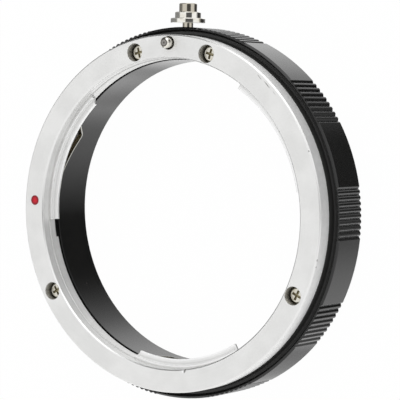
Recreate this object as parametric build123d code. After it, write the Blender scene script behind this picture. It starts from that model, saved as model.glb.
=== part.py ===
from build123d import *
import math
import os

# Lens mount adapter: a three-tab bayonet ring screwed to a ribbed body ring, with a sprung lock
# pin that a stepped knob on the rim draws in. The rear face lies on z = 0, Z is the ring's axis,
# the bayonet face looks up and the knob stands out along +Y. Angles run clockwise from +Y, seen
# from the bayonet face. Lengths are in millimetres and angles in degrees.

# Ring section, from the throat outwards
throat_r = 27.0          # inside the tabs
tab_reach = 1.15         # how far a tab stands in from the ledge behind it
ledge_reach = 0.45       # how far the ledge stands in from the gaps between the tabs
seat_step = 0.1          # the seat is this much wider than the gaps
flange_width = 4.3       # width of the bayonet face
spigot_wall = 0.65       # wall of the spigot that centres the bayonet ring in the body
spigot_gap = 0.05        # clearance round the spigot
bore_lip = 0.15          # the bore is this much narrower than the gaps
grip_step = 1.5          # the grip stands this far out from the flange
grip_land = 0.4          # flat front edge of the grip
neck_floor = 0.7         # floor of the groove between the neck and the grip
rear_step = 1.05         # the grip stands this far out from the rear rim

# Heights along the axis
height = 13.1            # rear face to bayonet face
flange_t = 3.0           # rim of the bayonet ring
spigot_t = 1.15          # spigot below the rim
ledge_depth = 2.05       # bayonet face down to the ledge
tab_depth = 2.5          # bayonet face down to the tabs
tab_t = 0.45
spigot_relief = 0.5      # between the spigot's end and the body
neck_t = 1.9             # plain neck between the flange and the grip
grip_rise = 0.75         # the grip's front edge stands this far above the groove's floor
rear_t = 1.2             # plain rim behind the grip

# Broken edges
flange_chamfer = 0.25
face_break = 0.25        # inner edge of the bayonet face
grip_chamfer = 0.35      # front edge of the grip's smooth panels
neck_foot = 0.2          # corner left at the neck's foot

# Tabs: start and end angle of each, with the cutter's round at the ends
tab_angles = [(-95.0, -41.5), (30.5, 80.5), (148.5, 196.0)]
tab_cutter_r = 1.2
notch_l = 3.4            # notch in the spigot's edge, before the first tab
notch_h = 0.6

# Ribbed grip
rib_groups = 10
rib_phase = 15.5         # middle of the first group
grooves_per_group = 9
rib_pitch = 1.81
rib_groove_w = 0.75
rib_groove_d = 0.28

# Screws of the bayonet ring
screw_angles = [-14.4, 15.7, 115.4, -121.6]
screw_inset = 2.4        # screw circle in from the flange's rim
screw_head_r = 1.4
screw_head_t = 0.75
screw_head_dome = 0.2
screw_shank_r = 0.85
screw_l = 4.0            # under the head
screw_play = 0.05        # clearance round the shank
counterbore_r = 1.68
counterbore_depth = 2.1
cross_l = 1.9            # cross recess
cross_w = 0.45
cross_depth = 0.5
cross_taper = 8.0

# Index dot
dot_angle = -87.8
dot_inset = 2.35
dot_r = 0.93
dot_recess = 0.3
dot_sink = 0.04          # the dot lies this far under the face

# Lock pin and its coil spring
pin_inset = 1.57         # pin axis in from the flange's rim
pin_r = 1.0
pin_play = 0.05
pin_hole_r = 1.25        # hole in the bayonet ring
pin_rise = 1.5           # tip above the bayonet face
pin_tip_chamfer = 0.3
pin_tail = 1.5           # below the knob's axis
lock_travel = 2.0
spring_wire = 0.24
wire_sides = 4           # the round wire is drawn square
spring_play = 0.1        # between the spring and the guide bore
spring_turns = 3.0
spring_free = 4.0        # length with the pin up

# Release knob, from the neck outwards
knob_drop = 6.2          # knob axis below the bayonet face
knob_neck_r = 0.98
knob_lift = 0.8          # underside of the knob above the grip
knob_tiers = [(3.2, 0.85), (2.4, 1.15), (1.65, 1.6)]   # radius and height of each step
knob_edge = 0.12
knob_shank_r = 0.5
knob_shank_past = 0.6    # shank past the pin's axis
neck_seat = 0.05         # between the neck's end and the pin
slot_play = 0.12         # slot round the neck

# Leaf springs
leaf_t = 0.25
leaf_edge = 0.12         # in from the throat, and in from the ledge
leaf_foot_angle = 12.0   # these four run from the start of the tab
leaf_bend_angle = 19.0
leaf_crest_angle = 35.5
leaf_tip_angle = 40.0
leaf_bow = 2.25
leaf_round = 1.0

# Sizes that follow
ledge_r = throat_r + tab_reach
gap_r = ledge_r + ledge_reach
seat_r = gap_r + seat_step
flange_r = seat_r + flange_width
spigot_r = gap_r + spigot_wall
recess_r = spigot_r + spigot_gap
bore_r = gap_r - bore_lip
grip_r = flange_r + grip_step
rear_r = grip_r - rear_step
screw_circle_r = flange_r - screw_inset
dot_circle_r = flange_r - dot_inset
pin_circle_r = flange_r - pin_inset

rim_z = height - flange_t            # where the bayonet ring meets the body
spigot_z = rim_z - spigot_t
ledge_z = height - ledge_depth
tab_z = height - tab_depth
tab_floor_z = tab_z - tab_t
recess_z = spigot_z - spigot_relief
neck_z = rim_z - neck_t
grip_z = neck_z + grip_rise
screw_seat_z = height - counterbore_depth
knob_z = height - knob_drop
pin_tail_z = knob_z - pin_tail
spring_floor_z = pin_tail_z - spring_free
over = 0.5                           # how far cutters run past a face


def turned(points):
    """Solid of revolution about Z from (radius, height) points."""
    return revolve(Plane.XZ * make_face(Polyline(*points, close=True)), Axis.Z, 360)


def swept(points, start, end):
    """Part of a solid of revolution, between two clockwise angles."""
    face = Plane.XZ * make_face(Polyline(*points, close=True))
    return Rot(0, 0, 90 - end) * revolve(face, Axis.Z, end - start)


def upright(angle, circle_r, radius, low_z, high_z):
    """Round bar along Z on a circle of the ring."""
    bar = Cylinder(radius, high_z - low_z, align=(Align.CENTER, Align.CENTER, Align.MIN))
    return Rot(0, 0, -angle) * Pos(0, circle_r, low_z) * bar


def arc_angle(length, radius):
    """Angle that a short length spans on a circle."""
    return math.degrees(length / radius)


def slot_cutter():
    """Radial slot for the knob's neck, as long as the lock's travel."""
    profile = SlotCenterToCenter(lock_travel, 2 * (knob_neck_r + slot_play))
    plane = Plane(origin=(0, pin_circle_r, knob_z - lock_travel / 2), x_dir=(0, 0, 1), z_dir=(0, 1, 0))
    return extrude(plane * profile, grip_r - pin_circle_r + over)


def grip_cutters():
    """V-grooves of the grip in groups, and the chamfers of the smooth panels between them."""
    groove = make_face(Polyline(
        (-rib_groove_w / 2, grip_r),
        (0, grip_r - rib_groove_d),
        (rib_groove_w / 2, grip_r),
        (rib_groove_w / 2, grip_r + over),
        (-rib_groove_w / 2, grip_r + over),
        close=True,
    ))
    cutter = Pos(0, 0, -over) * extrude(groove, grip_z + 2 * over)
    chamfer = [
        (grip_r - grip_chamfer, grip_z),
        (grip_r, grip_z - grip_chamfer),
        (grip_r + over, grip_z - grip_chamfer),
        (grip_r + over, grip_z),
    ]
    group_turn = 360 / rib_groups
    half_group = grooves_per_group * rib_pitch / 2
    cutters = []
    for group in range(rib_groups):
        middle = rib_phase + group * group_turn
        for index in range(grooves_per_group):
            angle = middle - half_group + (index + 0.5) * rib_pitch
            cutters.append(Rot(0, 0, -angle) * cutter)
        cutters.append(swept(chamfer, middle + half_group, middle + group_turn - half_group))
    return cutters


def make_body():
    body = turned([
        (bore_r, 0),
        (rear_r, 0),
        (rear_r, rear_t),
        (grip_r, rear_t),
        (grip_r, grip_z),
        (grip_r - grip_land, grip_z),
        (flange_r + neck_floor, neck_z),
        (flange_r + neck_foot, neck_z),
        (flange_r, neck_z + neck_foot),
        (flange_r, rim_z),
        (recess_r, rim_z),
        (recess_r, recess_z),
        (bore_r, recess_z),
    ])
    cuts = grip_cutters()
    for angle in screw_angles:
        low_z = screw_seat_z - screw_l - over
        cuts.append(upright(angle, screw_circle_r, screw_shank_r + screw_play, low_z, rim_z + over))
    cuts.append(upright(0, pin_circle_r, pin_r + pin_play, spring_floor_z, rim_z + over))
    cuts.append(slot_cutter())
    return body - cuts


def make_bayonet_ring():
    ring = turned([
        (gap_r, spigot_z),
        (spigot_r, spigot_z),
        (spigot_r, rim_z),
        (flange_r, rim_z),
        (flange_r, height - flange_chamfer),
        (flange_r - flange_chamfer, height),
        (seat_r + face_break, height),
        (seat_r, height - face_break),
        (seat_r, ledge_z),
        (ledge_r, ledge_z),
        (ledge_r, tab_z),
        (throat_r, tab_z),
        (throat_r, tab_floor_z),
        (gap_r, tab_floor_z),
    ])
    gap = [
        (throat_r - over, tab_floor_z),
        (gap_r, tab_floor_z),
        (gap_r, ledge_z + over),
        (throat_r - over, ledge_z + over),
    ]
    cuts = []
    starts = [start for start, end in tab_angles]
    next_starts = starts[1:] + [starts[0] + 360]
    for (start, end), next_start in zip(tab_angles, next_starts):
        cuts.append(swept(gap, end, next_start))
        cutter_angle = end + arc_angle(tab_cutter_r / 2, throat_r)
        cuts.append(upright(cutter_angle, throat_r, tab_cutter_r, tab_floor_z - over, ledge_z + over))
    notch = [
        (gap_r - over, spigot_z - over),
        (spigot_r + over, spigot_z - over),
        (spigot_r + over, spigot_z + notch_h),
        (gap_r - over, spigot_z + notch_h),
    ]
    cuts.append(swept(notch, starts[0] - arc_angle(notch_l, gap_r), starts[0]))
    for angle in screw_angles:
        cuts.append(upright(angle, screw_circle_r, counterbore_r, screw_seat_z, height + over))
        cuts.append(upright(angle, screw_circle_r, screw_shank_r + screw_play, rim_z - over, height))
    cuts.append(upright(0, pin_circle_r, pin_hole_r, rim_z - over, height + over))
    cuts.append(upright(dot_angle, dot_circle_r, dot_r, height - dot_recess, height + over))
    return ring - cuts


def make_screw():
    """Screw with its head's underside on z = 0 and a tapered cross recess."""
    edge_z = screw_head_t - screw_head_dome
    screw = turned([
        (0, -screw_l),
        (screw_shank_r, -screw_l),
        (screw_shank_r, 0),
        (screw_head_r, 0),
        (screw_head_r, edge_z),
        (screw_head_r - screw_head_dome, screw_head_t),
        (0, screw_head_t),
    ])
    cross = Rectangle(cross_l, cross_w) + Rectangle(cross_w, cross_l)
    return screw - extrude(Pos(0, 0, screw_head_t) * cross, -cross_depth, taper=cross_taper)


def make_screws():
    screw = make_screw()
    seats = [Rot(0, 0, -angle) * Pos(0, screw_circle_r, screw_seat_z) for angle in screw_angles]
    return Compound(children=[seat * screw for seat in seats])


def make_dot():
    return upright(dot_angle, dot_circle_r, dot_r, height - dot_recess, height - dot_sink)


def make_pin():
    tip_z = height + pin_rise
    pin = turned([
        (0, pin_tail_z),
        (pin_r, pin_tail_z),
        (pin_r, tip_z - pin_tip_chamfer),
        (pin_r - pin_tip_chamfer, tip_z),
        (0, tip_z),
    ])
    bar = Cylinder(knob_shank_r, 2 * pin_r + over, align=(Align.CENTER, Align.CENTER, Align.MIN))
    shank_hole = Pos(0, -knob_shank_past, knob_z) * Rot(-90, 0, 0) * bar
    return Pos(0, pin_circle_r, 0) * (pin - shank_hole)


def make_knob():
    """Stepped knob turned about the radial line through the pin."""
    neck_r = pin_circle_r + pin_r + neck_seat
    under_r = grip_r + knob_lift
    outline = [
        (0, pin_circle_r - knob_shank_past),
        (knob_shank_r, pin_circle_r - knob_shank_past),
        (knob_shank_r, neck_r),
        (knob_neck_r, neck_r),
        (knob_neck_r, under_r),
    ]
    reach = under_r
    for radius, rise in knob_tiers:
        outline.append((radius, reach))
        reach += rise
        outline += [(radius, reach - knob_edge), (radius - knob_edge, reach)]
    outline.append((0, reach))
    face = make_face(Polyline(*outline, close=True))
    return Pos(0, 0, knob_z) * revolve(face, Axis.Y, 360)


def make_lock_spring():
    coil_r = pin_r + pin_play - spring_play - spring_wire / 2
    pitch = (spring_free - spring_wire) / spring_turns
    path = Helix(pitch, spring_free - spring_wire, coil_r)
    section = Plane(origin=path @ 0, z_dir=path % 0) * RegularPolygon(spring_wire / 2, wire_sides)
    coil = sweep(section, path, is_frenet=True)
    return Pos(0, pin_circle_r, spring_floor_z + spring_wire / 2) * coil


def make_leaf(tab_start):
    """Bowed strip whose foot lies on the back of a tab, bent round the throat."""
    inner_r = throat_r + leaf_edge
    outer_r = ledge_r - leaf_edge
    middle = (leaf_foot_angle + leaf_tip_angle) / 2

    def along(angle):
        return inner_r * math.sin(math.radians(angle - middle))

    path = FilletPolyline(
        (along(leaf_foot_angle), -leaf_t / 2),
        (along(leaf_bend_angle), -leaf_t / 2),
        (along(leaf_crest_angle), -leaf_t / 2 - leaf_bow),
        (along(leaf_tip_angle), -leaf_t),
        radius=leaf_round,
    )
    plane = Plane(origin=(0, 0, tab_floor_z), x_dir=(1, 0, 0), z_dir=(0, -1, 0))
    strip = extrude(plane * trace(path, leaf_t), -outer_r - over)
    band = turned([
        (inner_r, tab_floor_z - leaf_bow - over - leaf_t),
        (outer_r, tab_floor_z - leaf_bow - over - leaf_t),
        (outer_r, tab_floor_z),
        (inner_r, tab_floor_z),
    ])
    return Rot(0, 0, -(tab_start + middle)) * (strip & band)


nodes = {
    "body_ring": make_body(),
    "bayonet_ring": make_bayonet_ring(),
    "bayonet_screws": make_screws(),
    "index_dot": make_dot(),
    "lock_pin": make_pin(),
    "release_knob": make_knob(),
    "lock_spring": make_lock_spring(),
}
for number, (tab_start, tab_end) in enumerate(tab_angles, start=1):
    nodes[f"leaf_spring_{number}"] = make_leaf(tab_start)

os.makedirs("parts", exist_ok=True)
for name, solid in nodes.items():
    export_step(solid, f"parts/{name}.step")
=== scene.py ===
import math
import bpy
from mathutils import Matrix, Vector


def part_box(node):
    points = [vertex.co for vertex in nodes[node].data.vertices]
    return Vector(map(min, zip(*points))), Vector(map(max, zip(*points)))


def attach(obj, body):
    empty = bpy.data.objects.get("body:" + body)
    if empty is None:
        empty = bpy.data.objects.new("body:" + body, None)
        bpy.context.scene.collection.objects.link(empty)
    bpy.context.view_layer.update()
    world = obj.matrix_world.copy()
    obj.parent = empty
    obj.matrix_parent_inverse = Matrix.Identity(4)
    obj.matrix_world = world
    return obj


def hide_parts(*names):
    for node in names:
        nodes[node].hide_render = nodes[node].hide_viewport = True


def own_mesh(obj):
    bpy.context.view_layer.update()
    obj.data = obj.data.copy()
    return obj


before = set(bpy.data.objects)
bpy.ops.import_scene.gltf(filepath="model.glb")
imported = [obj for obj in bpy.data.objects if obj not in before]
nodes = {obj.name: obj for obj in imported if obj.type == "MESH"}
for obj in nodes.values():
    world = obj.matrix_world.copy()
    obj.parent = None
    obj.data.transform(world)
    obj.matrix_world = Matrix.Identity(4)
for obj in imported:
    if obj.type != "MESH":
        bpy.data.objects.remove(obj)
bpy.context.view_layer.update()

mm = 0.001
print("frame loaded:", len(nodes), "nodes")

# Ring sizes that the finishes line up with, in mm
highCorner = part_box("bayonet_ring")[1]
faceHeight = highCorner.z / mm
flangeRadius = highCorner.x / mm
screwInset = 2.4                # from the flange's edge to the screws' axes
screwCircle = flangeRadius - screwInset
screwAngles = (-14.4, 15.7, 115.4, -121.6)
counterboreDepth = 2.1
screwFoot = faceHeight - counterboreDepth

lowDetail, middleDetail, highDetail = 2.0, 3.0, 4.0     # octaves of the noises
noiseSpan = (0.3, 0.7)          # nearly all of a noise lies between these
bevelSamples = 8


def linearColour(code):
    # sRGB hex to the linear values that sockets take
    channels = [int(code[i:i + 2], 16) / 255 for i in (1, 3, 5)]
    return [c / 12.92 if c <= 0.04045 else ((c + 0.055) / 1.055) ** 2.4 for c in channels] + [1.0]


def addNode(tree, kind, settings=None, inputs=None):
    node = tree.nodes.new(kind)
    for name, value in (settings or {}).items():
        setattr(node, name, value)
    for key, value in (inputs or {}).items():
        if isinstance(value, bpy.types.NodeSocket):
            tree.links.new(value, node.inputs[key])
        else:
            node.inputs[key].default_value = value
    return node


def onRing(angle, radius, height):
    # angles run clockwise from the knob, seen from the bayonet face
    turn = math.radians(angle)
    return Vector((radius * math.sin(turn), radius * math.cos(turn), height))


def startMaterial(name):
    material = bpy.data.materials.new(name)
    material.use_nodes = True
    tree = material.node_tree
    shader = tree.nodes["Principled BSDF"]
    place = addNode(tree, "ShaderNodeTexCoord")
    inMm = addNode(tree, "ShaderNodeVectorMath", {"operation": "SCALE"},
                   {0: place.outputs["Object"], "Scale": 1 / mm})
    return material, tree, shader, inMm.outputs[0]


def fromUpright(tree, inMm, axis):
    # distance from an upright line through a point at height 0
    flat = addNode(tree, "ShaderNodeVectorMath", {"operation": "MULTIPLY"}, {0: inMm, 1: (1, 1, 0)})
    reach = addNode(tree, "ShaderNodeVectorMath", {"operation": "DISTANCE"}, {0: flat.outputs[0], 1: axis})
    return reach.outputs["Value"]


def ringSection(tree, inMm):
    # place in the ring's section: radius as X, height as Y
    parts = addNode(tree, "ShaderNodeSeparateXYZ", {}, {0: inMm})
    across = addNode(tree, "ShaderNodeCombineXYZ", {},
                     {"X": fromUpright(tree, inMm, (0, 0, 0)), "Y": parts.outputs["Z"]})
    return across.outputs[0]


def betweenRadii(tree, section, radii):
    # 1 between the two radii, and 0 elsewhere
    parts = addNode(tree, "ShaderNodeSeparateXYZ", {}, {0: section})
    beyond = addNode(tree, "ShaderNodeMath", {"operation": "GREATER_THAN"},
                     {0: parts.outputs["X"], 1: radii[0]})
    within = addNode(tree, "ShaderNodeMath", {"operation": "LESS_THAN"},
                     {0: parts.outputs["X"], 1: radii[1]})
    both = addNode(tree, "ShaderNodeMath", {"operation": "MULTIPLY"},
                   {0: beyond.outputs[0], 1: within.outputs[0]})
    return both.outputs[0]


def latheLines(tree, inMm, spacing):
    # streaks that run round the ring's axis
    streaks = addNode(tree, "ShaderNodeTexNoise", {"noise_dimensions": "2D"},
                      {"Vector": ringSection(tree, inMm), "Scale": 1 / spacing, "Detail": lowDetail})
    return streaks.outputs[0]


def turnedGrain(tree, inMm, look):
    # lathe streaks and a fine grain, summed
    grain = addNode(tree, "ShaderNodeTexNoise", {},
                    {"Vector": inMm, "Scale": 1 / look["grainSpacing"], "Detail": lowDetail})
    both = addNode(tree, "ShaderNodeMath", {"operation": "ADD"},
                   {0: latheLines(tree, inMm, look["streakSpacing"]), 1: grain.outputs[0]})
    return both.outputs[0]


# Wear marks: ellipsoids with a ragged edge
wear = {
    "gritPerMm": 4.0,
    "edge": (0.9, 1.5),         # from full wear to none, in mark sizes with the grit added
}


def wearMarks(tree, inMm, marks):
    # 0 to 1, from the deepest mark at each place
    grit = addNode(tree, "ShaderNodeTexNoise", {},
                   {"Vector": inMm, "Scale": wear["gritPerMm"], "Detail": middleDetail})
    worn = 0.0
    for mark in marks:
        spot = addNode(tree, "ShaderNodeMapping", {"vector_type": "TEXTURE"}, {
            "Vector": inMm,
            "Location": onRing(mark["angle"], mark["radius"], mark["height"]),
            "Rotation": (0, 0, math.radians(mark.get("turn", 0) - mark["angle"])),
            "Scale": mark["size"],
        })
        reach = addNode(tree, "ShaderNodeVectorMath", {"operation": "LENGTH"}, {0: spot.outputs[0]})
        ragged = addNode(tree, "ShaderNodeMath", {"operation": "ADD"},
                         {0: reach.outputs["Value"], 1: grit.outputs[0]})
        fade = addNode(tree, "ShaderNodeMapRange", {"interpolation_type": "SMOOTHSTEP"}, {
            "Value": ragged.outputs[0], "From Min": wear["edge"][0], "From Max": wear["edge"][1],
            "To Min": mark["depth"], "To Max": 0.0})
        worn = addNode(tree, "ShaderNodeMath", {"operation": "MAXIMUM"},
                       {0: worn, 1: fade.outputs[0]}).outputs[0]
    return worn


def setSurface(tree, look, colour, grain, layers=1):
    # colour, gloss and fine relief; layers is how many noises are summed in the grain
    shader = tree.nodes["Principled BSDF"]
    gloss = addNode(tree, "ShaderNodeMapRange", {}, {
        "Value": grain, "From Min": layers * noiseSpan[0], "From Max": layers * noiseSpan[1],
        "To Min": look["roughness"] - look["roughnessSpread"],
        "To Max": look["roughness"] + look["roughnessSpread"]})
    relief = addNode(tree, "ShaderNodeBump", {}, {"Height": grain, "Distance": look["streakDepth"]})
    if "edgeRound" in look:
        rounded = addNode(tree, "ShaderNodeBevel", {"samples": bevelSamples}, {"Radius": look["edgeRound"]})
        tree.links.new(rounded.outputs[0], relief.inputs["Normal"])
    for socket, value in {"Base Color": colour, "Roughness": gloss.outputs[0],
                          "Normal": relief.outputs[0]}.items():
        tree.links.new(value, shader.inputs[socket])


def overlay(tree, mask, colour, roughness):
    # covers part of a finish with another colour and gloss
    # (Mix takes its share at 0, numbers at 2 and 3, and colours at 6 and 7)
    shader = tree.nodes["Principled BSDF"]
    under = shader.inputs["Base Color"].links[0].from_socket
    tone = addNode(tree, "ShaderNodeMix", {"data_type": "RGBA"}, {0: mask, 6: under, 7: colour})
    tree.links.new(tone.outputs[2], shader.inputs["Base Color"])
    under = shader.inputs["Roughness"].links[0].from_socket
    gloss = addNode(tree, "ShaderNodeMix", {"data_type": "FLOAT"}, {0: mask, 2: under, 3: roughness})
    tree.links.new(gloss.outputs[0], shader.inputs["Roughness"])


# Satin aluminium, bead-blasted and clear anodised: pale, soft reflections, faint lathe streaks
satinSilver = {
    "colour": "#EFEFEE",
    "cloud": "#E8E8E7",         # slow change of tone over the face
    "cloudSize": 5.0,
    "cloudSpan": (0.35, 0.65),
    "roughness": 0.57,
    "roughnessSpread": 0.06,
    "streakSpacing": 0.5,       # real lathe lines are finer and would not show
    "streakDepth": 0.0005 * mm,
    "grainSpacing": 0.35,
    "edgeRound": 0.2 * mm,
    "soil": "#665F45",          # painted shade in the screw holes, darkest at the foot, together with oil and dust
    "shadeAndSoilReach": 1.8,
    "shadeAndSoilTop": 0.02,            # it ends this far below the face
    "shadeAndSoilStart": 0.1,           # and thickens from here down
    "shadeAndSoilDepth": (0.05, 0.9),
    "inside": (28.5, 28.75),    # between these radii the turned wall keeps its feed lines
    "feedSpacing": 0.45,        # drawn coarser than the real feed
    "feedDepth": (0.0, 0.12),
    "outside": (32.95, 33.1),   # and here the blasted wall is mottled
    "mottleSize": 0.9,
    "mottleDepth": (0.25, 0.5),
    "tabs": (26.5, 28.5),       # the tabs are painted lighter than the face, as painted light
    "tabPaintedLight": (0.4, 0.4),
    "patternSpan": (0.42, 0.62),
    # spots of the ring's section: radius, height and reach
    "shadeAndFeedGrey": "#B5B5B3",        # painted shade in the corners under ledge and tabs; the same grey draws the feed lines
    "cornerShadeDepth": 0.25,
    "shadedCorners": [(28.7, 11.05, 0.5), (27.8, 10.6, 0.35)],
    "highlightAndMottleWhite": "#FFFFFF",         # painted highlights on the edges of ledge and tabs, which are also smoother, polished by lenses
    "crestRoughness": 0.3,
    "highlightedEdges": [(28.15, 11.05, 0.35), (27.0, 10.6, 0.4)],
    "edges": [(32.88, 12.98, 0.4), (28.82, 12.98, 0.45)],   # the face's two edges, smoother than it
    "worn": "#7F7E7B",
    "marks": [
        # scratches at the upper right
        {"angle": 37.9, "radius": 32.2, "height": faceHeight, "size": (0.75, 0.13, 0.3),
         "turn": -8, "depth": 0.55},
        {"angle": 41.7, "radius": 32.2, "height": faceHeight, "size": (0.95, 0.15, 0.3),
         "turn": -5, "depth": 0.7},
        {"angle": 45.4, "radius": 32.2, "height": faceHeight, "size": (0.6, 0.12, 0.3),
         "turn": -6, "depth": 0.3},
        # the nick at the bottom, and small ones at the face's edges
        {"angle": 170.2, "radius": 28.95, "height": faceHeight - 0.1, "size": (0.28, 0.6, 0.4),
         "turn": -25, "depth": 0.95},
        {"angle": 56.8, "radius": 28.85, "height": faceHeight - 0.1, "size": (0.25, 0.25, 0.3),
         "depth": 0.5},
        {"angle": 67.5, "radius": 32.8, "height": faceHeight, "size": (0.25, 0.2, 0.3), "depth": 0.6},
        {"angle": 101.5, "radius": 33.0, "height": faceHeight - 0.3, "size": (0.3, 0.2, 0.3), "depth": 0.5},
        {"angle": 103.6, "radius": 33.0, "height": faceHeight - 0.4, "size": (0.25, 0.2, 0.25),
         "depth": 0.5},
    ],
    "nickHighlight": "#FFFFFF",          # painted highlight beside the nick
    "nickHighlights": [
        {"angle": 171.1, "radius": 28.95, "height": faceHeight - 0.1, "size": (0.5, 0.45, 0.4),
         "depth": 1.0},
    ],
}


def screwHoleShadeAndSoil(tree, inMm):
    # share of painted shade and soil: none outside the screw holes, most at their foot
    look = satinSilver
    height = addNode(tree, "ShaderNodeSeparateXYZ", {}, {0: inMm}).outputs["Z"]
    sunk = addNode(tree, "ShaderNodeMapRange", {}, {
        "Value": height, "From Min": faceHeight - look["shadeAndSoilStart"], "From Max": screwFoot,
        "To Min": look["shadeAndSoilDepth"][0], "To Max": look["shadeAndSoilDepth"][1]})
    inHoles = 0.0
    for angle in screwAngles:
        inHole = addNode(tree, "ShaderNodeMath", {"operation": "LESS_THAN"}, {
            0: fromUpright(tree, inMm, onRing(angle, screwCircle, 0)), 1: look["shadeAndSoilReach"]})
        inHoles = addNode(tree, "ShaderNodeMath", {"operation": "MAXIMUM"},
                          {0: inHoles, 1: inHole.outputs[0]}).outputs[0]
    below = addNode(tree, "ShaderNodeMath", {"operation": "LESS_THAN"},
                    {0: height, 1: faceHeight - look["shadeAndSoilTop"]})
    # painted shade and soil together, only below the face
    soil = addNode(tree, "ShaderNodeMath", {"operation": "MULTIPLY"}, {0: inHoles, 1: below.outputs[0]})
    share = addNode(tree, "ShaderNodeMath", {"operation": "MULTIPLY"},
                    {0: soil.outputs[0], 1: sunk.outputs[0]})
    return share.outputs[0]


def makeSatinSilver():
    look = satinSilver
    material, tree, shader, inMm = startMaterial("satinAluminium")
    cloud = addNode(tree, "ShaderNodeTexNoise", {},
                    {"Vector": inMm, "Scale": 1 / look["cloudSize"], "Detail": highDetail})
    cloudy = addNode(tree, "ShaderNodeMapRange", {}, {
        "Value": cloud.outputs[0], "From Min": look["cloudSpan"][0], "From Max": look["cloudSpan"][1]})
    tone = addNode(tree, "ShaderNodeMix", {"data_type": "RGBA"}, {
        0: cloudy.outputs[0], 6: linearColour(look["colour"]), 7: linearColour(look["cloud"])})
    colour = addNode(tree, "ShaderNodeMix", {"data_type": "RGBA"}, {
        0: screwHoleShadeAndSoil(tree, inMm), 6: tone.outputs[2], 7: linearColour(look["soil"])})
    setSurface(tree, look, colour.outputs[2], turnedGrain(tree, inMm, look), layers=2)
    shader.inputs["Metallic"].default_value = 1.0

    # each overlay lies on those before it: walls and the tabs' painted light, then painted shade in corners
    # and painted highlights on edges, then the nick's painted highlight and wear
    section = ringSection(tree, inMm)
    mottle = addNode(tree, "ShaderNodeTexNoise", {},
                     {"Vector": inMm, "Scale": 1 / look["mottleSize"], "Detail": middleDetail})
    # feed lines and mottle are the walls' own tone; the tabs get painted light
    for radii, pattern, code, depth in (
            (look["inside"], latheLines(tree, inMm, look["feedSpacing"]), look["shadeAndFeedGrey"], look["feedDepth"]),
            (look["outside"], mottle.outputs[0], look["highlightAndMottleWhite"], look["mottleDepth"]),
            (look["tabs"], 1.0, look["highlightAndMottleWhite"], look["tabPaintedLight"])):
        tint = addNode(tree, "ShaderNodeMapRange", {}, {
            "Value": pattern, "From Min": look["patternSpan"][0], "From Max": look["patternSpan"][1],
            "To Min": depth[0], "To Max": depth[1]})
        share = addNode(tree, "ShaderNodeMath", {"operation": "MULTIPLY"},
                        {0: betweenRadii(tree, section, radii), 1: tint.outputs[0]})
        overlay(tree, share.outputs[0], linearColour(code), look["roughness"])
    # painted shade in the corners, painted highlights on the ledge and tab edges, then the face's smoother
    # edges
    for spots, code, depth, roughness in (
            (look["shadedCorners"], look["shadeAndFeedGrey"], look["cornerShadeDepth"], look["roughness"]),
            (look["highlightedEdges"], look["highlightAndMottleWhite"], 1.0, look["crestRoughness"]),
            (look["edges"], look["colour"], 1.0, look["crestRoughness"])):
        for radius, height, reach in spots:
            off = addNode(tree, "ShaderNodeVectorMath", {"operation": "DISTANCE"},
                          {0: section, 1: (radius, height, 0)})
            near = addNode(tree, "ShaderNodeMapRange", {"interpolation_type": "SMOOTHSTEP"}, {
                "Value": off.outputs["Value"], "From Min": reach, "From Max": 0.0, "To Max": depth})
            overlay(tree, near.outputs[0], linearColour(code), roughness)
    # the nick's painted highlight, then the wear marks
    for marks, code in ((look["nickHighlights"], look["nickHighlight"]), (look["marks"], look["worn"])):
        overlay(tree, wearMarks(tree, inMm, marks), linearColour(code), look["roughness"])
    return material


# Black anodised aluminium, satin: a hard dyed oxide skin, so it reflects like a dielectric and
# turns pale where it is seen along the surface; lathe streaks show in the reflections
blackAnodised = {
    "colour": "#161616",
    "cloud": "#1C1C1B",
    "cloudSize": 6.0,
    "roughness": 0.15,
    "roughnessSpread": 0.02,
    "ior": 1.52,
    "streakSpacing": 0.6,       # drawn coarser than the real feed lines
    "streakDepth": 0.0002 * mm,
    "grainSpacing": 0.3,
    "edgeRound": 0.14 * mm,
    "neck": "#272726",          # the neck under the face is turned and left matt; its lighter grey is painted light
    "neckRoughness": 0.42,
    "neckRadii": (31.0, 33.8),
    "groove": "#0E0E0E",        # painted shade: the grooves of the grip are painted darker than the rest
    "grooveRoughness": 0.15,
    "grooveRadii": (33.9, 34.36),
    "worn": "#6E6C68",
    "marks": [                  # neck and groove cover what lies under them
        {"angle": 109.2, "radius": 34.0, "height": 8.15, "size": (0.5, 0.3, 0.3), "depth": 0.5},
        {"angle": -121.8, "radius": 28.45, "height": 4.7, "size": (0.3, 0.3, 0.3), "depth": 0.25},
    ],
}


def makeBlackAnodised():
    look = blackAnodised
    material, tree, shader, inMm = startMaterial("blackAnodisedAluminium")
    cloud = addNode(tree, "ShaderNodeTexNoise", {},
                    {"Vector": inMm, "Scale": 1 / look["cloudSize"], "Detail": highDetail})
    tone = addNode(tree, "ShaderNodeMix", {"data_type": "RGBA"}, {
        0: cloud.outputs[0], 6: linearColour(look["colour"]), 7: linearColour(look["cloud"])})
    colour = addNode(tree, "ShaderNodeMix", {"data_type": "RGBA"}, {
        0: wearMarks(tree, inMm, look["marks"]), 6: tone.outputs[2], 7: linearColour(look["worn"])})
    setSurface(tree, look, colour.outputs[2], turnedGrain(tree, inMm, look), layers=2)
    shader.inputs["IOR"].default_value = look["ior"]
    section = ringSection(tree, inMm)
    # painted light on the neck and painted shade in the grooves
    for place in ("neck", "groove"):
        within = betweenRadii(tree, section, look[place + "Radii"])
        overlay(tree, within, linearColour(look[place]), look[place + "Roughness"])
    return material


# Nickel plate on steel: warm and bright, with soil in patches and a fine grain
nickelPlate = {
    "colour": "#EDEAE1",
    "soil": "#B3A98E",
    "roughness": 0.18,
    "roughnessSpread": 0.05,
    "grainSpacing": 0.25,
    "streakDepth": 0.0015 * mm,
    "edgeRound": 0.08 * mm,
}

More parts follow.
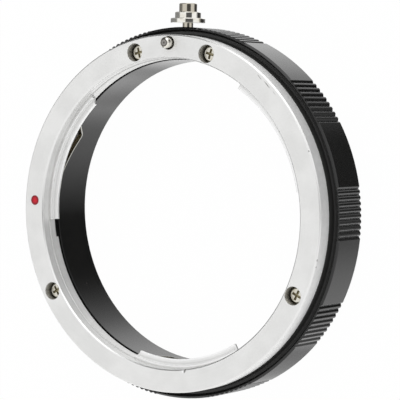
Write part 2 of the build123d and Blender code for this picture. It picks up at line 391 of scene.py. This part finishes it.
# Chromed brass, turned and polished: a near mirror with a warm tint
polishedChrome = {
    "colour": "#F3F1EA",
    "soil": "#CFC6AE",
    "roughness": 0.06,
    "roughnessSpread": 0.03,
    "grainSpacing": 0.4,
    "streakDepth": 0.0006 * mm,
    "edgeRound": 0.08 * mm,
}

# Drawn spring wire: grey, with a fine grain from drawing
drawnSteel = {
    "colour": "#A9A9A8",
    "soil": "#6C6863",
    "roughness": 0.34,
    "roughnessSpread": 0.08,
    "grainSpacing": 0.1,
    "streakDepth": 0.001 * mm,
    "edgeRound": 0.02 * mm,
}

# Patches of soil on these three
plateSoil = {
    "patchesPerMm": 0.8,
    "span": (0.5, 0.75),
    "depth": 0.6,
}


def makePlated(name, look):
    material, tree, shader, inMm = startMaterial(name)
    grain = addNode(tree, "ShaderNodeTexNoise", {},
                    {"Vector": inMm, "Scale": 1 / look["grainSpacing"], "Detail": middleDetail})
    patches = addNode(tree, "ShaderNodeTexNoise", {},
                      {"Vector": inMm, "Scale": plateSoil["patchesPerMm"], "Detail": highDetail})
    soiled = addNode(tree, "ShaderNodeMapRange", {"interpolation_type": "SMOOTHSTEP"}, {
        "Value": patches.outputs[0], "From Min": plateSoil["span"][0], "From Max": plateSoil["span"][1],
        "To Max": plateSoil["depth"]})
    colour = addNode(tree, "ShaderNodeMix", {"data_type": "RGBA"}, {
        0: soiled.outputs[0], 6: linearColour(look["colour"]), 7: linearColour(look["soil"])})
    setSurface(tree, look, colour.outputs[2], grain.outputs[0])
    shader.inputs["Metallic"].default_value = 1.0
    return material, tree, inMm


# The knob's end, which fingers handle, and its neck have dulled to a warm grey
knobTarnish = {
    "colour": "#C6C0B2",
    "roughness": 0.1,
    "endDepth": 1.6,            # height of the knob's end step
    "neckDepth": 3.6,           # from the knob's end to its underside
}


def makeKnobChrome():
    look = knobTarnish
    material, tree, inMm = makePlated("polishedChrome", polishedChrome)
    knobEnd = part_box("release_knob")[1].y / mm
    place = addNode(tree, "ShaderNodeSeparateXYZ", {}, {0: inMm})
    fromMiddle = addNode(tree, "ShaderNodeMath", {"operation": "SUBTRACT"},
                         {0: place.outputs["Y"], 1: knobEnd - (look["endDepth"] + look["neckDepth"]) / 2})
    distance = addNode(tree, "ShaderNodeMath", {"operation": "ABSOLUTE"}, {0: fromMiddle.outputs[0]})
    dulled = addNode(tree, "ShaderNodeMath", {"operation": "GREATER_THAN"},
                     {0: distance.outputs[0], 1: (look["neckDepth"] - look["endDepth"]) / 2})
    overlay(tree, dulled.outputs[0], linearColour(look["colour"]), look["roughness"])
    return material


# The lock pin's end is turned and left bare: grey, in rings, with a bright plated edge round it
pinEnd = {
    "ring": "#9A9793",
    "groove": "#4D4A46",
    "ringPitch": 0.72,
    "depth": 0.02,              # how far the bare end reaches down the pin
    "roughness": 0.42,
    "soil": "#3F3C36",          # painted reflection: a dark band on the pin's side beside the end
    "darkBandRoughness": 0.5,
    "marks": [{"angle": 1.7, "radius": 31.8, "height": 14.1, "size": (0.5, 0.5, 0.4), "depth": 0.9}],
}


def makePinSteel():
    look = pinEnd
    material, tree, inMm = makePlated("pinSteel", nickelPlate)
    low, high = (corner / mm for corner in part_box("lock_pin"))
    axis = Vector(((low.x + high.x) / 2, (low.y + high.y) / 2, 0))
    phase = addNode(tree, "ShaderNodeMath", {"operation": "MULTIPLY"},
                    {0: fromUpright(tree, inMm, axis), 1: 2 * math.pi / look["ringPitch"]})
    wave = addNode(tree, "ShaderNodeMath", {"operation": "COSINE"}, {0: phase.outputs[0]})
    rank = addNode(tree, "ShaderNodeMapRange", {},
                   {"Value": wave.outputs[0], "From Min": -1.0, "From Max": 1.0})
    rings = addNode(tree, "ShaderNodeMix", {"data_type": "RGBA"}, {
        0: rank.outputs[0], 6: linearColour(look["ring"]), 7: linearColour(look["groove"])})
    height = addNode(tree, "ShaderNodeSeparateXYZ", {}, {0: inMm})
    isEnd = addNode(tree, "ShaderNodeMath", {"operation": "GREATER_THAN"},
                    {0: height.outputs["Z"], 1: high.z - look["depth"]})
    # painted dark reflection on the pin's side
    overlay(tree, wearMarks(tree, inMm, look["marks"]), linearColour(look["soil"]), look["darkBandRoughness"])
    overlay(tree, isEnd.outputs[0], rings.outputs[2], look["roughness"])
    return material


# Painted shade in the crosses of the screws, darker with depth, over a thin film of soil on the whole head
screwShadeAndSoil = {
    "colour": "#9A9276",
    "roughness": 0.45,
    "film": 0.2,                # a thin film of it dulls the whole head
    "clean": 0.1,               # no more than that to this depth below the crown
    "full": 0.55,
}


def makeScrewNickel():
    look = screwShadeAndSoil
    material, tree, inMm = makePlated("nickelPlate", nickelPlate)
    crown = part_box("bayonet_screws")[1].z / mm
    height = addNode(tree, "ShaderNodeSeparateXYZ", {}, {0: inMm})
    # painted shade deepening into the crosses, over the film of soil
    soiled = addNode(tree, "ShaderNodeMapRange", {"interpolation_type": "SMOOTHSTEP"}, {
        "Value": height.outputs["Z"], "From Min": crown - look["clean"], "From Max": crown - look["full"],
        "To Min": look["film"]})
    overlay(tree, soiled.outputs[0], linearColour(look["colour"]), look["roughness"])
    return material


# Rolled bronze strip: the sheared edges are pale and bright, the flats are tarnished brown
rolledBronze = {
    "edge": "#B9B8B2",
    "flat": "#6E6550",
    "flatSpan": (0.25, 0.5),    # upward part of the normal, from edge to flat
    "patina": "#4A4130",
    "patchesPerMm": 0.7,
    "roughness": 0.32,
    "roughnessSpread": 0.08,
    "streakSpacing": 0.25,
    "streakDepth": 0.0012 * mm,
}


def makeRolledBronze():
    look = rolledBronze
    material, tree, shader, inMm = startMaterial("rolledBronze")
    surface = addNode(tree, "ShaderNodeNewGeometry")
    facing = addNode(tree, "ShaderNodeSeparateXYZ", {}, {0: surface.outputs["True Normal"]})
    upright = addNode(tree, "ShaderNodeMath", {"operation": "ABSOLUTE"}, {0: facing.outputs["Z"]})
    isFlat = addNode(tree, "ShaderNodeMapRange", {}, {
        "Value": upright.outputs[0], "From Min": look["flatSpan"][0], "From Max": look["flatSpan"][1]})
    patches = addNode(tree, "ShaderNodeTexNoise", {},
                      {"Vector": inMm, "Scale": look["patchesPerMm"], "Detail": highDetail})
    tarnish = addNode(tree, "ShaderNodeMix", {"data_type": "RGBA"}, {
        0: patches.outputs[0], 6: linearColour(look["flat"]), 7: linearColour(look["patina"])})
    colour = addNode(tree, "ShaderNodeMix", {"data_type": "RGBA"}, {
        0: isFlat.outputs[0], 6: linearColour(look["edge"]), 7: tarnish.outputs[2]})
    setSurface(tree, look, colour.outputs[2], latheLines(tree, inMm, look["streakSpacing"]))
    shader.inputs["Metallic"].default_value = 1.0
    return material


# Red enamel fill: glossy; painted shade darkens it towards its rim and painted light keeps its middle
# lighter, as on a domed drop
redEnamel = {
    "middle": "#CB0A26",
    "rim": "#84081A",
    "roughness": 0.3,
    "ior": 1.4,
    "angle": -87.8,
    "inset": 2.35,
    "fade": (0.35, 1.08),       # from the middle's colour to the rim's
    "wander": 0.4,              # how far ripples shift that
    "ripplesPerMm": 1.6,
    "rippleDepth": 0.004 * mm,
}


def makeRedEnamel():
    look = redEnamel
    material, tree, shader, inMm = startMaterial("redEnamel")
    middle = onRing(look["angle"], flangeRadius - look["inset"], 0)
    ripple = addNode(tree, "ShaderNodeTexNoise", {},
                     {"Vector": inMm, "Scale": look["ripplesPerMm"], "Detail": lowDetail})
    wander = addNode(tree, "ShaderNodeMath", {"operation": "MULTIPLY_ADD"},
                     {0: ripple.outputs[0], 1: look["wander"], 2: fromUpright(tree, inMm, middle)})
    # painted shade towards the rim and painted light in the middle
    toRim = addNode(tree, "ShaderNodeMapRange", {"interpolation_type": "SMOOTHSTEP"}, {
        "Value": wander.outputs[0], "From Min": look["fade"][0], "From Max": look["fade"][1]})
    colour = addNode(tree, "ShaderNodeMix", {"data_type": "RGBA"}, {
        0: toRim.outputs[0], 6: linearColour(look["middle"]), 7: linearColour(look["rim"])})
    relief = addNode(tree, "ShaderNodeBump", {},
                     {"Height": ripple.outputs[0], "Distance": look["rippleDepth"]})
    for socket, value in {"Base Color": colour.outputs[2], "Normal": relief.outputs[0]}.items():
        tree.links.new(value, shader.inputs[socket])
    shader.inputs["Roughness"].default_value = look["roughness"]
    shader.inputs["IOR"].default_value = look["ior"]
    return material


bronze = makeRolledBronze()
steel = makePlated("drawnSteel", drawnSteel)[0]
finishes = {
    "body_ring": makeBlackAnodised(),
    "bayonet_ring": makeSatinSilver(),
    "bayonet_screws": makeScrewNickel(),
    "index_dot": makeRedEnamel(),
    "lock_pin": makePinSteel(),
    "release_knob": makeKnobChrome(),
    "lock_spring": steel,
    "leaf_spring_1": bronze,
    "leaf_spring_2": bronze,
    "leaf_spring_3": bronze,
}
for name, finish in finishes.items():
    nodes[name].data.materials.clear()
    nodes[name].data.materials.append(finish)
print("finishes set on", len(finishes), "nodes")


# Coil spring under the lock pin, in round wire; the real one shortens as the knob is drawn back
lockCoil = {
    "wire": 0.24,
    "turns": 5,
    "wireSides": 10,
    "stepsPerTurn": 28,
    "mergeWithin": 0.001 * mm,
    "smoothBelow": 50,          # degrees between faces
    "pressed": 0.5,             # share of its length left when the pin is in
}


def makeLockCoil():
    look = lockCoil
    low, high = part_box("lock_spring")
    centre = Vector(((low.x + high.x) / 2, (low.y + high.y) / 2, 0))
    wireRadius = look["wire"] / 2 * mm
    coilRadius = (high.x - low.x) / 2 - wireRadius
    rise = high.z - low.z - 2 * wireRadius
    bpy.ops.object.select_all(action="DESELECT")
    bpy.ops.mesh.primitive_circle_add(vertices=look["wireSides"], radius=wireRadius,
                                      location=(0, 0, 0), rotation=(math.pi / 2, 0, 0))
    coil = bpy.context.object
    coil.name = "lockCoil"
    bpy.ops.object.transform_apply(location=True, rotation=True, scale=True)
    bpy.ops.object.mode_set(mode="EDIT")
    bpy.ops.mesh.select_all(action="SELECT")
    bpy.ops.transform.translate(value=(coilRadius, 0, low.z + wireRadius))
    bpy.ops.object.mode_set(mode="OBJECT")
    winding = coil.modifiers.new("winding", "SCREW")
    winding.axis = "Z"
    winding.angle = 2 * math.pi * look["turns"]
    winding.screw_offset = rise
    winding.steps = winding.render_steps = look["stepsPerTurn"] * look["turns"]
    bpy.ops.object.modifier_apply(modifier="winding")
    bpy.ops.object.mode_set(mode="EDIT")
    bpy.ops.mesh.select_all(action="SELECT")
    bpy.ops.mesh.remove_doubles(threshold=look["mergeWithin"])
    bpy.ops.mesh.fill_holes(sides=0)
    bpy.ops.mesh.select_all(action="SELECT")
    bpy.ops.transform.translate(value=centre)
    bpy.ops.mesh.normals_make_consistent(inside=False)
    bpy.ops.object.mode_set(mode="OBJECT")
    bpy.ops.object.shade_smooth_by_angle(angle=math.radians(look["smoothBelow"]))
    coil.data.materials.append(steel)
    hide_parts("lock_spring")
    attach(coil, "ring")
    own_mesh(coil)


makeLockCoil()
print("lock coil wound")


# White table: the camera sees it white with the ring's soft shadow. Reflections look past it into
# the pale room, because the photographed ring had a white backdrop and no table near it.
table = {
    "size": 6.0,
    "gap": 0.02 * mm,           # under the ring, so that the faces don't touch
    "colour": "#F2F2F2",
    "whiteForCamera": 0.985,    # the rest of it keeps the shadow
}


def makeTable():
    look = table
    bpy.ops.object.select_all(action="DESELECT")
    bpy.ops.mesh.primitive_plane_add(size=look["size"], location=(0, 0, -look["gap"]))
    sheet = bpy.context.object
    sheet.name = "whiteTable"
    bpy.ops.object.transform_apply(location=True, rotation=True, scale=True)
    material = bpy.data.materials.new("whiteTable")
    material.use_nodes = True
    tree = material.node_tree
    tree.nodes.remove(tree.nodes["Principled BSDF"])
    matt = addNode(tree, "ShaderNodeBsdfDiffuse", {}, {"Color": linearColour(look["colour"])})
    white = addNode(tree, "ShaderNodeEmission", {}, {"Color": (1, 1, 1, 1), "Strength": 1.0})
    clear = addNode(tree, "ShaderNodeBsdfTransparent")
    ray = addNode(tree, "ShaderNodeLightPath")
    seen = addNode(tree, "ShaderNodeMath", {"operation": "MAXIMUM"},
                   {0: ray.outputs["Is Camera Ray"], 1: ray.outputs["Is Transmission Ray"]})
    share = addNode(tree, "ShaderNodeMath", {"operation": "MULTIPLY"},
                    {0: seen.outputs[0], 1: look["whiteForCamera"]})
    lit = addNode(tree, "ShaderNodeMixShader", {},
                  {0: share.outputs[0], 1: matt.outputs[0], 2: white.outputs[0]})
    past = addNode(tree, "ShaderNodeMath", {"operation": "MAXIMUM"},
                   {0: ray.outputs["Is Glossy Ray"], 1: ray.outputs["Is Shadow Ray"]})
    both = addNode(tree, "ShaderNodeMixShader", {},
                   {0: past.outputs[0], 1: lit.outputs[0], 2: clear.outputs[0]})
    tree.links.new(both.outputs[0], tree.nodes["Material Output"].inputs["Surface"])
    sheet.data.materials.append(material)


makeTable()

# The room: pale all round, darker where the photographer's room shows in the metal
room = {
    "level": 0.97,
    "patches": [
        # brightest parts of the backdrop, and a dim strip near the lower one
        {"towards": (-0.23, 0.47, -0.85), "size": (0.32, 0.32, 0.32), "core": 0.3, "level": 1.3},
        {"towards": (-0.12, -0.59, -0.80), "size": (0.4, 0.3, 0.3), "core": 0.3, "level": 1.7},
        {"towards": (-0.22, -0.48, -0.85), "size": (0.35, 0.07, 0.2), "core": 0.4, "level": 0.55,
         "turn": -25},
        # the dim far side, which shows in the flange's edge at the left and in the face below
        {"towards": (-0.88, 0.1, -0.46), "size": (0.45, 0.5, 0.4), "core": 0.4, "level": 0.25},
        {"towards": (-0.86, 0.46, -0.23), "size": (0.4, 0.4, 0.3), "core": 0.6, "level": 0.1},
        {"towards": (-0.56, 0.83, 0.05), "size": (0.45, 0.4, 0.4), "core": 0.6, "level": 0.05},
        {"towards": (-0.5, -0.45, 0.74), "size": (0.5, 0.4, 0.5), "core": 0.2, "level": 0.8},
        # the camera, and black cards beside the ring that give the knob its dark edges
        {"towards": (0.68, 0.04, 0.73), "size": (0.5, 0.16, 0.5), "core": 0.8, "level": 0.1},
        {"towards": (-0.595, 0.04, -0.804), "size": (1.62, 0.07, 1.62), "core": 0.9, "level": 0.25},
    ],
    # dark gap between backdrop and table: an arc below the ring, clockwise from the knob
    "gap": {"angle": 61, "core": 15, "edge": 82, "height": -0.81, "heightCore": 0.1, "heightEdge": 0.26,
            "level": 0.02},
}


def makeRoom():
    look = room
    world = bpy.data.worlds.new("paleRoom")
    world.use_nodes = True
    bpy.context.scene.world = world
    tree = world.node_tree
    glow = tree.nodes["Background"]
    glow.inputs["Color"].default_value = (1, 1, 1, 1)
    place = addNode(tree, "ShaderNodeTexCoord")
    level = look["level"]
    for patch in look["patches"]:
        towards = Vector(patch["towards"]).normalized()
        spot = addNode(tree, "ShaderNodeMapping", {"vector_type": "TEXTURE"}, {
            "Vector": place.outputs["Generated"], "Location": towards,
            "Rotation": (0, 0, math.radians(patch.get("turn", 0))), "Scale": patch["size"]})
        reach = addNode(tree, "ShaderNodeVectorMath", {"operation": "LENGTH"}, {0: spot.outputs[0]})
        inside = addNode(tree, "ShaderNodeMapRange", {"interpolation_type": "SMOOTHSTEP"}, {
            "Value": reach.outputs["Value"], "From Min": 1.0, "From Max": patch["core"]})
        level = addNode(tree, "ShaderNodeMix", {"data_type": "FLOAT"},
                        {0: inside.outputs[0], 2: level, 3: patch["level"]}).outputs[0]
    gap = look["gap"]
    arc = [math.radians(gap[name]) for name in ("angle", "core", "edge")]
    parts = addNode(tree, "ShaderNodeSeparateXYZ", {}, {0: place.outputs["Generated"]})
    angle = addNode(tree, "ShaderNodeMath", {"operation": "ARCTAN2"},
                    {0: parts.outputs["X"], 1: parts.outputs["Y"]})
    inGap = []
    for value, middle, core, edge in (
            (angle.outputs[0], *arc),
            (parts.outputs["Z"], gap["height"], gap["heightCore"], gap["heightEdge"])):
        off = addNode(tree, "ShaderNodeMath", {"operation": "SUBTRACT"}, {0: value, 1: middle})
        size = addNode(tree, "ShaderNodeMath", {"operation": "ABSOLUTE"}, {0: off.outputs[0]})
        inGap.append(addNode(tree, "ShaderNodeMapRange", {"interpolation_type": "SMOOTHSTEP"}, {
            "Value": size.outputs[0], "From Min": edge, "From Max": core}).outputs[0])
    share = addNode(tree, "ShaderNodeMath", {"operation": "MULTIPLY"}, {0: inGap[0], 1: inGap[1]})
    level = addNode(tree, "ShaderNodeMix", {"data_type": "FLOAT"},
                    {0: share.outputs[0], 2: level, 3: gap["level"]}).outputs[0]
    tree.links.new(level, glow.inputs["Strength"])
    white = addNode(tree, "ShaderNodeBackground", {}, {"Color": (1, 1, 1, 1), "Strength": 1.0})
    ray = addNode(tree, "ShaderNodeLightPath")
    both = addNode(tree, "ShaderNodeMixShader", {},
                   {0: ray.outputs["Is Camera Ray"], 1: glow.outputs[0], 2: white.outputs[0]})
    tree.links.new(both.outputs[0], tree.nodes["World Output"].inputs["Surface"])


makeRoom()

# Soft box: one lamp, which looks at the ring from the knob's side
softBox = {
    "towards": (0.2, 0.88, 0.4),
    "distance": 0.7,
    "size": 0.5,
    "level": 0.8,
}


def makeSoftBox():
    look = softBox
    light = bpy.data.lights.new("softBoxTop", "AREA")
    light.shape = "SQUARE"
    light.size = look["size"]
    light.energy = look["level"] * math.pi * look["size"] ** 2
    box = bpy.data.objects.new("softBoxTop", light)
    bpy.context.scene.collection.objects.link(box)
    towards = Vector(look["towards"]).normalized()
    box.location = towards * look["distance"]
    box.rotation_euler = towards.to_track_quat("Z", "Y").to_euler()
    box.visible_camera = False


makeSoftBox()
print("table, room and lamps set")

# The photograph's view: the ring lies face up, and the camera looks down on it from the right
camera = {
    "lens": 180,
    "sensor": 36,
    "clip": (0.01, 20),
    "place": (209.27, 22.65, 314.90),
    "turn": (-2.384, 33.805, 1.3),
}


def makeCamera():
    look = camera
    lens = bpy.data.cameras.new("photoCamera")
    lens.lens = look["lens"]
    lens.sensor_width = look["sensor"]
    lens.clip_start, lens.clip_end = look["clip"]
    eye = bpy.data.objects.new("photoCamera", lens)
    bpy.context.scene.collection.objects.link(eye)
    eye.location = Vector(look["place"]) * mm
    eye.rotation_euler = [math.radians(a) for a in look["turn"]]
    bpy.context.scene.camera = eye


makeCamera()
bpy.context.scene.view_settings.view_transform = "Standard"
print("camera placed")
